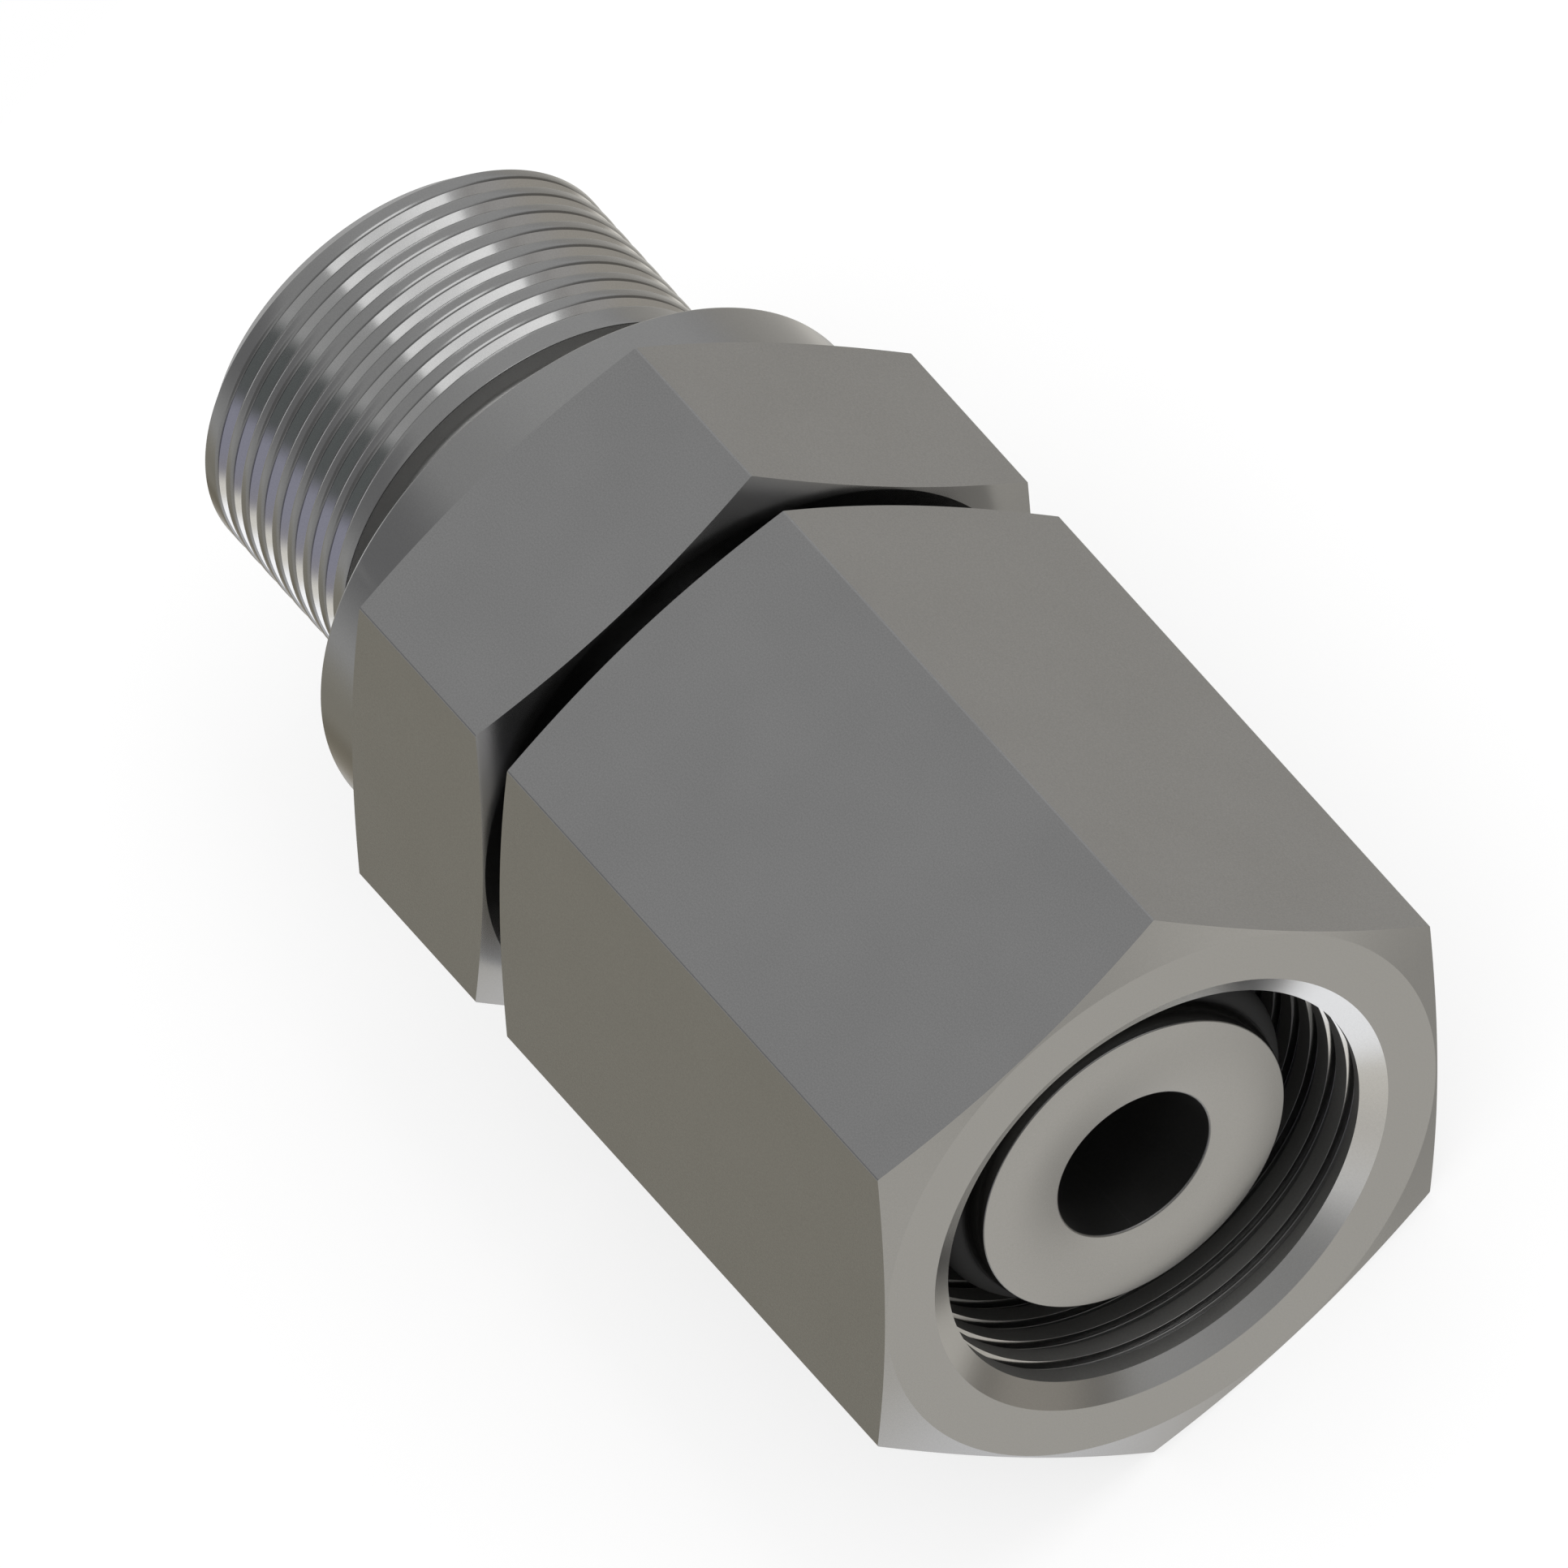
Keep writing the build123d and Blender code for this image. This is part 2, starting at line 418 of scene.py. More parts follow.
def place_piece(name, mesh, materials, body, node):
    """Links a piece to the scene, gives it its materials, ties it to its body and hides the CAD node that it
    stands in for.
    """
    piece = bpy.data.objects.new(name, mesh)
    bpy.context.scene.collection.objects.link(piece)
    for material in materials:
        mesh.materials.append(material)
    finish_mesh(piece)
    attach(piece, body)
    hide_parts(node)


# Threads

class Groove:
    """One thread groove's section: depths below the crest at distances along the axis from its bottom."""

    def __init__(self, depth, edges, flanks, root, floor=0.0):
        self.stations = []
        for side, edge, flank in zip((-1, 1), edges, flanks):
            slope = math.tan(math.radians(flank))
            tilt = math.radians(90.0 - flank)
            drop = 1 - math.cos(tilt)
            run = math.sin(tilt)
            bottom = [(floor / 2 + root * math.sin(tilt * k / 3), depth - root * (1 - math.cos(tilt * k / 3)))
                      for k in range(4)]
            straight = (depth - (root + edge) * drop) * slope
            top_start = bottom[-1][0] + straight
            top = [(top_start + edge * (run - math.sin(tilt * k / 3)), edge * (1 - math.cos(tilt * k / 3)))
                   for k in (3, 2, 1, 0)]
            half = [(side * along, below) for along, below in bottom + top]
            self.stations = half[::-1] + self.stations if side < 0 else self.stations + half
        # The strip that starts at this station is the flank that takes the painted highlight finish.
        first_flank = 3
        self.flank = [station == first_flank for station in range(len(self.stations))]
        self.along = np.array([station[0] for station in self.stations])
        self.below = np.array([station[1] for station in self.stations])
        self.low = self.along[0]
        self.high = self.along[-1]

    def depth_at(self, along, lift):
        """Depth below the crest at a distance from the bottom, once the groove is lifted by lift."""
        steep = 3.0
        before = (self.low - along) * steep
        after = np.maximum(along - self.high, 0.0) * steep
        outside = np.where(along < self.low, before, after)
        return np.interp(along, self.along, self.below) - outside - lift


def groove_crossing(groove, centre, lift, blank, side):
    """Distance from the groove's bottom to where one side of it meets the blank's surface."""
    past_edge = 1.6
    halvings = 36
    near = 0.0
    far = groove.low if side < 0 else groove.high
    if groove.depth_at(np.array(near), lift) <= blank(centre):
        return 0.0
    if groove.depth_at(np.array(far), lift) > blank(centre + far):
        far *= past_edge
    for _ in range(halvings):
        middle = (near + far) / 2
        if groove.depth_at(np.array(middle), lift) > blank(centre + middle):
            near = middle
        else:
            far = middle
    return far


def helical_rings(
    outline, groove, pitch, first, turns, blank, kinks, crest, outward, lift_at, limits, finishes,
):
    """Adds the rings of a helical thread.

    The blank is the depth of the plain surface below the crest at a place. A ring follows the helix, so
    the strips between rings are the flanks, root and lands. Where a place lies beyond a limit, it is
    moved to the limit with the depth that the thread has there.
    """
    angles = outline.angles
    entry, land, cut, rest = finishes
    low_limit, high_limit = limits
    count = len(groove.along)
    columns = len(angles)
    places = np.zeros((turns, count, columns))
    depths = np.zeros((turns, count, columns))
    edges = np.zeros((turns, 2, columns))
    for turn in range(turns):
        for column, angle in enumerate(angles):
            around = turn + angle / (2 * math.pi)
            centre = first + pitch * around
            lift = lift_at(around)
            low = groove_crossing(groove, centre, lift, blank, -1)
            high = groove_crossing(groove, centre, lift, blank, 1)
            along = np.clip(groove.along, low, high)
            depth = np.maximum(groove.depth_at(along, lift), [blank(centre + value) for value in along])
            if low == 0.0 and high == 0.0:
                depth[:] = blank(centre)
            places[turn, :, column] = centre + along
            depths[turn, :, column] = depth
            edges[turn, :, column] = centre + low, centre + high

    def depth_on(place, column):
        """Depth of the threaded surface at a place in one column."""
        for turn in range(turns):
            low, high = edges[turn, :, column]
            if low < place < high:
                return np.interp(place, places[turn, :, column], depths[turn, :, column])
        return blank(place)

    limit_depth = {}
    for limit in (low_limit, high_limit):
        limit_depth[limit] = np.array([depth_on(limit, column) for column in range(columns)])
    for turn in range(turns):
        before = edges[turn - 1, 1] if turn else np.full(columns, -FAR)
        for kink in kinks:
            place = np.clip(np.full(columns, kink), before, edges[turn, 0])
            land_ring(outline, place, blank, limits, limit_depth, crest, outward, land)
        for station in range(count):
            place = places[turn, station]
            depth = depths[turn, station]
            depth = np.where(place < low_limit, limit_depth[low_limit], depth)
            depth = np.where(place > high_limit, limit_depth[high_limit], depth)
            place = np.clip(place, low_limit, high_limit)
            beyond = land if turn else entry
            # The flank strip takes the third finish, the bright thread colour that paints a highlight on it;
            # the other strips take the fourth.
            finish = beyond if station == count - 1 else cut if groove.flank[station] else rest
            outline.ring(place, crest + outward * depth, finish)
    for kink in kinks:
        place = np.clip(np.full(columns, kink), edges[-1, 1], FAR)
        land_ring(outline, place, blank, limits, limit_depth, crest, outward, land)


def land_ring(outline, place, blank, limits, limit_depth, crest, outward, finish):
    """Adds a ring on the plain surface between two grooves."""
    low_limit, high_limit = limits
    depth = np.array([blank(value) for value in place])
    depth = np.where(place < low_limit, limit_depth[low_limit], depth)
    depth = np.where(place > high_limit, limit_depth[high_limit], depth)
    outline.ring(np.clip(place, low_limit, high_limit), crest + outward * depth, finish, True)


def hexagon_rings(outline, start, end, across_flats, corner, chamfer_angle):
    """Adds a hexagon between two places, from its face circle at one end to that at the other.

    The chamfer's angle is negative where the outline runs back towards the stud.
    """
    radius = hexagon_radius(outline.angles, across_flats, corner)
    face_radius = across_flats / 2 - HEX_CHAMFER_BITE
    run = (radius - face_radius) * math.tan(math.radians(chamfer_angle))
    outline.ring(start, face_radius, "faced", True)
    outline.ring(start + run, radius, "flats", True)
    outline.ring(end - run, radius, "faced", True)
    outline.ring(end, face_radius, "faced", True)


# Node groups

def socket(group, direction, name, kind, default=None):
    """Adds one socket to a node group."""
    made = group.interface.new_socket(name=name, in_out=direction, socket_type=kind)
    if default is not None:
        made.default_value = default


def machining_group():
    """Fine rings that a turning tool leaves, as a height, with the way that they vary over the surface."""
    group = bpy.data.node_groups.new("turning marks", "ShaderNodeTree")
    socket(group, "INPUT", "Marks per metre", "NodeSocketFloat", 9000.0)
    socket(group, "INPUT", "Unevenness", "NodeSocketFloat", 0.5)
    socket(group, "OUTPUT", "Height", "NodeSocketFloat")
    nodes, links = group.nodes, group.links
    entry = nodes.new("NodeGroupInput")
    leave = nodes.new("NodeGroupOutput")
    where = nodes.new("ShaderNodeTexCoord")
    parts = nodes.new("ShaderNodeSeparateXYZ")
    links.new(where.outputs["Object"], parts.inputs[0])
    radial = nodes.new("ShaderNodeCombineXYZ")
    links.new(parts.outputs["Y"], radial.inputs["X"])
    links.new(parts.outputs["Z"], radial.inputs["Y"])
    distance = nodes.new("ShaderNodeVectorMath")
    distance.operation = "LENGTH"
    links.new(radial.outputs[0], distance.inputs[0])
    travel = nodes.new("ShaderNodeMath")
    travel.operation = "ADD"
    links.new(parts.outputs["X"], travel.inputs[0])
    links.new(distance.outputs["Value"], travel.inputs[1])
    scaled = nodes.new("ShaderNodeMath")
    scaled.operation = "MULTIPLY"
    links.new(travel.outputs[0], scaled.inputs[0])
    links.new(entry.outputs["Marks per metre"], scaled.inputs[1])
    rings = nodes.new("ShaderNodeTexNoise")
    rings.noise_dimensions = "1D"
    rings.inputs["Scale"].default_value = 1.0
    rings.inputs["Detail"].default_value = 3.0
    links.new(scaled.outputs[0], rings.inputs["W"])
    patch = nodes.new("ShaderNodeTexNoise")
    patch.inputs["Scale"].default_value = 420.0
    patch.inputs["Detail"].default_value = 2.0
    links.new(where.outputs["Object"], patch.inputs["Vector"])
    blend = nodes.new("ShaderNodeMath")
    blend.operation = "MULTIPLY"
    links.new(patch.outputs["Fac"], blend.inputs[0])
    links.new(entry.outputs["Unevenness"], blend.inputs[1])
    rest = nodes.new("ShaderNodeMath")
    rest.operation = "SUBTRACT"
    rest.inputs[0].default_value = 1.0
    links.new(blend.outputs[0], rest.inputs[1])
    height = nodes.new("ShaderNodeMath")
    height.operation = "MULTIPLY"
    links.new(rings.outputs["Fac"], height.inputs[0])
    links.new(rest.outputs[0], height.inputs[1])
    links.new(height.outputs[0], leave.inputs["Height"])


def plating_group():
    """Speckle and cloudiness of a thin plated layer, as a colour and a roughness."""
    group = bpy.data.node_groups.new("plated layer", "ShaderNodeTree")
    socket(group, "INPUT", "Metal", "NodeSocketColor", (0.3, 0.3, 0.3, 1.0))
    socket(group, "INPUT", "Speckle", "NodeSocketFloat", 0.08)
    socket(group, "INPUT", "Roughness", "NodeSocketFloat", 0.25)
    socket(group, "OUTPUT", "Colour", "NodeSocketColor")
    socket(group, "OUTPUT", "Roughness", "NodeSocketFloat")
    socket(group, "OUTPUT", "Grain", "NodeSocketFloat")
    nodes, links = group.nodes, group.links
    entry = nodes.new("NodeGroupInput")
    leave = nodes.new("NodeGroupOutput")
    where = nodes.new("ShaderNodeTexCoord")
    grain = nodes.new("ShaderNodeTexNoise")
    grain.inputs["Scale"].default_value = 16000.0
    grain.inputs["Detail"].default_value = 2.0
    links.new(where.outputs["Object"], grain.inputs["Vector"])
    cloud = nodes.new("ShaderNodeTexNoise")
    cloud.inputs["Scale"].default_value = 260.0
    cloud.inputs["Detail"].default_value = 3.0
    links.new(where.outputs["Object"], cloud.inputs["Vector"])
    fleck = nodes.new("ShaderNodeMapRange")
    fleck.inputs["From Min"].default_value = 0.3
    fleck.inputs["From Max"].default_value = 0.7
    fleck.inputs["To Min"].default_value = -1.0
    fleck.inputs["To Max"].default_value = 1.0
    links.new(grain.outputs["Fac"], fleck.inputs["Value"])
    haze = nodes.new("ShaderNodeMapRange")
    haze.inputs["From Min"].default_value = 0.3
    haze.inputs["From Max"].default_value = 0.7
    haze.inputs["To Min"].default_value = -0.35
    haze.inputs["To Max"].default_value = 0.35
    links.new(cloud.outputs["Fac"], haze.inputs["Value"])
    total = nodes.new("ShaderNodeMath")
    total.operation = "ADD"
    links.new(fleck.outputs[0], total.inputs[0])
    links.new(haze.outputs[0], total.inputs[1])
    gain = nodes.new("ShaderNodeMath")
    gain.operation = "MULTIPLY_ADD"
    links.new(total.outputs[0], gain.inputs[0])
    links.new(entry.outputs["Speckle"], gain.inputs[1])
    gain.inputs[2].default_value = 1.0
    colour_out = nodes.new("ShaderNodeVectorMath")
    colour_out.operation = "SCALE"
    links.new(entry.outputs["Metal"], colour_out.inputs[0])
    links.new(gain.outputs[0], colour_out.inputs["Scale"])
    links.new(colour_out.outputs[0], leave.inputs["Colour"])
    rough = nodes.new("ShaderNodeMath")
    rough.operation = "MULTIPLY_ADD"
    links.new(haze.outputs[0], rough.inputs[0])
    rough.inputs[1].default_value = 0.06
    links.new(entry.outputs["Roughness"], rough.inputs[2])
    links.new(rough.outputs[0], leave.inputs["Roughness"])
    links.new(grain.outputs["Fac"], leave.inputs["Grain"])


def group_node(tree, group, values):
    """Places a node group in a material and gives its inputs their own values."""
    node = tree.nodes.new("ShaderNodeGroup")
    node.node_tree = group
    for name, value in values.items():
        node.inputs[name].default_value = value
    return node


def plated_steel(name, metal, roughness, marks_per_metre, mark_depth, speckle):
    """Plated steel with the marks of the cut that made the face."""
    material = bpy.data.materials.new(name)
    material.use_nodes = True
    tree = material.node_tree
    shader = tree.nodes["Principled BSDF"]
    shader.inputs["Metallic"].default_value = 1.0
    layer = group_node(tree, bpy.data.node_groups["plated layer"], {
        "Metal": (*metal, 1.0), "Speckle": speckle, "Roughness": roughness,
    })
    tree.links.new(layer.outputs["Colour"], shader.inputs["Base Color"])
    tree.links.new(layer.outputs["Roughness"], shader.inputs["Roughness"])
    marks = group_node(tree, bpy.data.node_groups["turning marks"], {"Marks per metre": marks_per_metre})
    bump = tree.nodes.new("ShaderNodeBump")
    bump.inputs["Strength"].default_value = 1.0
    bump.inputs["Distance"].default_value = mark_depth
    tree.links.new(marks.outputs["Height"], bump.inputs["Height"])
    tree.links.new(bump.outputs["Normal"], shader.inputs["Normal"])


def soft_rubber(name, shade, roughness, grain_scale):
    """Moulded rubber with a fine matt grain."""
    material = bpy.data.materials.new(name)
    material.use_nodes = True
    tree = material.node_tree
    shader = tree.nodes["Principled BSDF"]
    shader.inputs["Specular IOR Level"].default_value = 0.5
    where = tree.nodes.new("ShaderNodeTexCoord")
    grain = tree.nodes.new("ShaderNodeTexNoise")
    grain.inputs["Scale"].default_value = grain_scale
    grain.inputs["Detail"].default_value = 4.0
    tree.links.new(where.outputs["Object"], grain.inputs["Vector"])
    tint = tree.nodes.new("ShaderNodeMapRange")
    tint.inputs["To Min"].default_value = roughness - 0.05
    tint.inputs["To Max"].default_value = roughness + 0.08
    tree.links.new(grain.outputs["Fac"], tint.inputs["Value"])
    tree.links.new(tint.outputs[0], shader.inputs["Roughness"])
    mixed = tree.nodes.new("ShaderNodeMix")
    mixed.data_type = "RGBA"
    mixed.inputs["A"].default_value = (*[0.8 * part for part in shade], 1.0)
    mixed.inputs["B"].default_value = (*[1.3 * part for part in shade], 1.0)
    tree.links.new(grain.outputs["Fac"], mixed.inputs["Factor"])
    tree.links.new(mixed.outputs["Result"], shader.inputs["Base Color"])
    bump = tree.nodes.new("ShaderNodeBump")
    bump.inputs["Distance"].default_value = 0.000004
    tree.links.new(grain.outputs["Fac"], bump.inputs["Height"])
    tree.links.new(bump.outputs["Normal"], shader.inputs["Normal"])


def steel_set():
    """The steel finishes in the order of the outline's finish names."""
    return [bpy.data.materials[name] for name in STEEL_MATERIALS]


# Operators

class FITTING_OT_finishes(bpy.types.Operator):
    """Makes the shared node groups and the materials of every finish"""

    bl_idname = "fitting.finishes"
    bl_label = "Finishes"

    def execute(self, context):
        finish = context.scene.fitting_finish
        machining_group()
        plating_group()
        rough = finish.roughness
        # Each line gives the colour, roughness, marks per metre, height of the marks in metres and speckle
        plated_steel("drawn_flats", finish.flats, rough + 0.02, 5200.0, 0.00000022, 0.075)
        # Painted light: a brighter copy of the plated steel for the faces square to the axis and the
        # chamfers.
        plated_steel("faced_ends", finish.faced, rough, 7000.0, 0.00000018, 0.025)
        plated_steel("turned_sides", finish.turned, rough - 0.02, 6500.0, 0.00000022, 0.040)
        # Painted highlight: a brighter copy of the plated steel for the countersink.
        plated_steel("bright_chamfers", finish.bright, rough - 0.02, 7000.0, 0.00000018, 0.025)
        # Painted highlight: a much brighter copy of the plated steel for the thread flanks.
        plated_steel("thread_flanks", finish.thread, rough - 0.09, 9000.0, 0.00000015, 0.030)
        plated_steel("inside_thread", finish.inside, 0.60, 8000.0, 0.00000060, 0.060)
        plated_steel("rough_recess", finish.recess, 0.60, 6000.0, 0.0000010, 0.050)
        # The bore's own colour, also used as painted shade on the nut thread's groove floor.
        plated_steel("drilled_bore", finish.bore, rough + 0.18, 5000.0, 0.00000080, 0.060)
        plated_steel("spring_wire", finish.spring, rough + 0.04, 12000.0, 0.00000030, 0.050)
        # Each line gives the colour, roughness and scale of the grain
        soft_rubber("o_ring_rubber", finish.rubber, 0.38, 9000.0)
        soft_rubber("seal_rubber", finish.seal, 0.50, 7000.0)
        return {"FINISHED"}


class FITTING_OT_stud_body(bpy.types.Operator):
    """Builds the stud, collar, hexagon, stem and cone nose as one turned piece with its outside thread"""

    bl_idname = "fitting.stud_body"
    bl_label = "Stud body"

    def execute(self, context):
        shape = context.scene.fitting_shape
        across_flats = BODY_BOX[1].z - BODY_BOX[0].z
        corner = shape.hexagon_corner
        outline = Outline(column_angles(shape.columns, corner_reach(across_flats, corner)))
        crest = STUD_CREST_RADIUS
        end, nose = BODY_BOX[0].x, BODY_BOX[1].x
        end_radius = crest - STUD_CHAMFER
        edges = (shape.stud_back_edge, shape.stud_front_edge)
        groove = Groove(shape.stud_groove_depth, edges, STUD_FLANKS, shape.stud_root)

        def blank(place):
            return max(0.0, STUD_CHAMFER - (place - end))

        first = end + STUD_CHAMFER - shape.stud_groove_depth
        turns = int(round((STUD_THREAD_END - first) / shape.stud_pitch))
        last = first + turns * shape.stud_pitch

        def lift(around):
            left = (turns - around) / STUD_RUN_OUT_TURNS
            begun = (around - STUD_ENTRY_START) / STUD_ENTRY_TURNS
            return shape.stud_groove_depth * (1.0 - min(1.0, max(0.0, min(left, begun))))

        ease = shape.edge_break
        outline.path(eased([
            (end, BORE_RADIUS),
            (end, BORE_RADIUS + BORE_RIM),
            (end, end_radius, 1.0),
            (first, end_radius + first - end),
        ], ease)[:-1], "faced")
        outline.ring(first, end_radius + first - end, "faced")
        # The third finish paints a highlight on the flank strip of each groove of the stud thread.
        helical_rings(
            outline, groove, shape.stud_pitch, first, turns, blank, [end + STUD_CHAMFER], crest, -1,
            lift, (-FAR, FAR), ("faced", "turned", "thread", "turned"),
        )
        outline.ring(last, crest, "turned")
        outline.path(eased([
            (last + THREAD_LAND, crest),
            (RELIEF_START, crest, 0.5),
            (RELIEF_START, RELIEF_RADIUS),
        ], ease)[:-1], "turned")
        outline.finishes[-1] = "recess"
        outline.path(eased([
            (RELIEF_START, RELIEF_RADIUS + RELIEF_CORNER),
            (RELIEF_START, RELIEF_RADIUS, 5.0),
            (SEAL_RECESS_FLOOR, RELIEF_RADIUS),
        ], ease, 5)[1:-1], "recess")
        outline.path([
            (SEAL_RECESS_FLOOR, RELIEF_RADIUS, True),
            (SEAL_RECESS_FLOOR, SEAL_RECESS_RADIUS, True),
        ], "recess")
        rim_middle = (SEAL_RECESS_RADIUS + COLLAR_RADIUS) / 2
        outline.path(eased([
            (SEAL_RECESS_FLOOR, SEAL_RECESS_RADIUS),
            (0.0, SEAL_RECESS_RADIUS, 0.8),
            (0.0, rim_middle),
        ], ease, 4)[1:-1], "faced")
        outline.path(eased([
            (0.0, rim_middle),
            (0.0, COLLAR_RADIUS, 2.4),
            (COLLAR_WIDTH, COLLAR_RADIUS),
        ], ease, 4)[1:-1], "turned")
        outline.ring(COLLAR_WIDTH, COLLAR_RADIUS, "faced", True)
        hexagon_rings(outline, COLLAR_WIDTH, BODY_FRONT, across_flats, corner, HEX_CHAMFER_ANGLE)
        stem_middle = (BODY_FRONT + STEM_GROOVE_START) / 2
        outline.path(eased([
            (BODY_FRONT, SEAL_RECESS_RADIUS),
            (BODY_FRONT, STEM_RADIUS, 5.0),
            (stem_middle, STEM_RADIUS),
        ], ease, 5)[1:-1], "turned")
        slope = math.tan(math.radians(CONE_HALF_ANGLE))

        def cone(place):
            return NOSE_RADIUS + (nose - place) * slope

        nose_middle = (BORE_RADIUS + NOSE_RADIUS) / 2
        outline.path(eased([
            (stem_middle, STEM_RADIUS),
            (STEM_GROOVE_START, STEM_RADIUS, 0.8),
            (STEM_GROOVE_START, STEM_GROOVE_RADIUS, 1.5),
            (RING_GROOVE_END, STEM_GROOVE_RADIUS, 1.5),
            (RING_GROOVE_END, STEM_RADIUS, 0.8),
            (nose - CONE_DEPTH / slope, STEM_RADIUS),
            (O_RING_GROOVE_START, cone(O_RING_GROOVE_START), 0.8),
            (O_RING_GROOVE_START, O_RING_GROOVE_RADIUS, 1.5),
            (O_RING_GROOVE_END, O_RING_GROOVE_RADIUS, 1.5),
            (O_RING_GROOVE_END, cone(O_RING_GROOVE_END), 0.8),
            (nose, NOSE_RADIUS, 1.0),
            (nose, nose_middle),
        ], ease)[1:-1], "turned")
        outline.finishes[-1] = "faced"
        outline.path(eased([
            (nose, nose_middle),
            (nose, BORE_RADIUS, 1.2),
            (end, BORE_RADIUS),
        ], ease)[1:-1], "bore")
        outline.ring(end + BORE_RIM, BORE_RADIUS, "bore")
        mesh = outline.mesh("stud_body_steel", STEEL_ORDER)
        place_piece("stud_body_piece", mesh, steel_set(), "stud", "stud_body")
        return {"FINISHED"}


class FITTING_OT_swivel_nut(bpy.types.Operator):
    """Builds the long hexagon nut with its inside thread, relief, shoulder, ring groove and running bore"""

    bl_idname = "fitting.swivel_nut"
    bl_label = "Swivel nut"

    def execute(self, context):
        shape = context.scene.fitting_shape
        across_flats = NUT_BOX[1].z - NUT_BOX[0].z
        corner = shape.hexagon_corner
        outline = Outline(column_angles(shape.columns, corner_reach(across_flats, corner)))
        back, front = NUT_BOX[0].x, NUT_BOX[1].x
        crest = NUT_CREST_RADIUS
        mouth_slope = math.tan(math.radians(MOUTH_HALF_ANGLE))
        mouth_place = front - (MOUTH_RADIUS - crest) / mouth_slope
        thread_end = front - NUT_THREAD_LENGTH
        depth = shape.nut_groove_depth
        slope = math.tan(math.radians(NUT_FLANK))
        floor = shape.nut_pitch - shape.nut_crest - 2 * depth * slope
        groove = Groove(depth, NUT_GROOVE_EDGES, (NUT_FLANK, NUT_FLANK), NUT_GROOVE_ROOT, floor)

        def blank(place):
            return max(0.0, (place - mouth_place) * mouth_slope)

        turns = int(math.ceil((mouth_place - thread_end) / shape.nut_pitch)) + 1
        full_turns = turns - 1 + NUT_LAST_TURN
        first = mouth_place - THREAD_LAND - groove.high - full_turns * shape.nut_pitch

        def lift(around):
            return depth * min(1.0, max(0.0, (around - full_turns) * NUT_RUN_OUT_STEEPNESS))

        ease = shape.edge_break
        relief_middle = (SHOULDER_END + thread_end) / 2
        outline.path(eased([
            (relief_middle, NUT_RELIEF_RADIUS),
            (thread_end, NUT_RELIEF_RADIUS, 1.0),
            (thread_end, crest),
        ], ease)[1:-1], "faced")
        # The nut thread's flank strips take the bright thread colour, a painted highlight, and its groove
        # floors take the darker bore colour, painted shade.
        helical_rings(
            outline, groove, shape.nut_pitch, first, turns, blank, [mouth_place], crest, 1,
            lift, (thread_end, mouth_place), ("inside", "inside", "thread", "bore"),
        )
        # The countersink takes the bright finish, a painted highlight.
        outline.ring(mouth_place, crest, "bright", True)
        outline.ring(front, MOUTH_RADIUS, "faced", True)
        hexagon_rings(outline, front, back, across_flats, corner, -HEX_CHAMFER_ANGLE)
        outline.path(eased([
            (back, NUT_RELIEF_RADIUS),
            (back, NUT_BORE_RADIUS + NUT_BACK_EDGE, 0.8),
            (back + NUT_BACK_EDGE, NUT_BORE_RADIUS, 0.8),
            (NUT_GROOVE_START, NUT_BORE_RADIUS, 0.5),
            (NUT_GROOVE_START, NUT_GROOVE_RADIUS, 0.8),
            (RING_GROOVE_END, NUT_GROOVE_RADIUS, 0.8),
            (RING_GROOVE_END, NUT_BORE_RADIUS, 0.5),
            (SHOULDER_START, NUT_BORE_RADIUS, 1.0),
            (SHOULDER_END, NUT_RELIEF_RADIUS, 2.0),
            (relief_middle, NUT_RELIEF_RADIUS),
        ], ease)[1:-1], "turned")
        mesh = outline.mesh("swivel_nut_steel", STEEL_ORDER)
        place_piece("swivel_nut_piece", mesh, steel_set(), "nut", "swivel_nut")
        return {"FINISHED"}


class FITTING_OT_rings(bpy.types.Operator):
    """Gives the split spring ring, the nose's rubber ring and the collar's soft seal their materials"""

    bl_idname = "fitting.rings"
    bl_label = "Rings and seals"

    def execute(self, context):
        for node, material in RING_MATERIALS.items():
            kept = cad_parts[node]
            kept.data.materials.clear()
            kept.data.materials.append(bpy.data.materials[material])
        return {"FINISHED"}


class FITTING_OT_stage(bpy.types.Operator):
    """Makes the floor, the world, the soft lamps and the camera"""

    bl_idname = "fitting.stage"
    bl_label = "Stage"

    def execute(self, context):
        stage = context.scene.fitting_stage
        make_floor(stage, CAD_BOX[0].z)
        make_world(stage)
        along = Vector((1.0, 0.0, 0.0))
        soft_lamp("key lamp", KEY_PLACE, KEY_SIZE, KEY_SIZE, stage.key_strength, along)
        place = PART_MIDDLE + STRIP_DIRECTION.normalized() * STRIP_DISTANCE
        along = STRIP_ALONG.normalized()
        soft_lamp("strip lamp", place, STRIP_WIDTH, STRIP_HEIGHT, stage.strip_strength, along)
        make_camera(stage)
        context.scene.view_settings.view_transform = "Standard"
        return {"FINISHED"}


def soft_lamp(name, place, width, height, radiance, along):
    """A soft rectangular lamp of the given radiance that faces the part, with its width along a direction."""
    light = bpy.data.lights.new(name, "AREA")
    light.shape = "RECTANGLE"
    light.size = width
    light.size_y = height
    light.energy = radiance * math.pi * width * height
    lamp = bpy.data.objects.new(name, light)
    facing = (place - PART_MIDDLE).normalized()
    side = (along - facing * along.dot(facing)).normalized()
    rise = facing.cross(side)
    lamp.matrix_world = Matrix((
        (side.x, rise.x, facing.x, place.x),
        (side.y, rise.y, facing.y, place.y),
        (side.z, rise.z, facing.z, place.z),
        (0.0, 0.0, 0.0, 1.0),
    ))
    lamp.visible_camera = False
    bpy.context.scene.collection.objects.link(lamp)


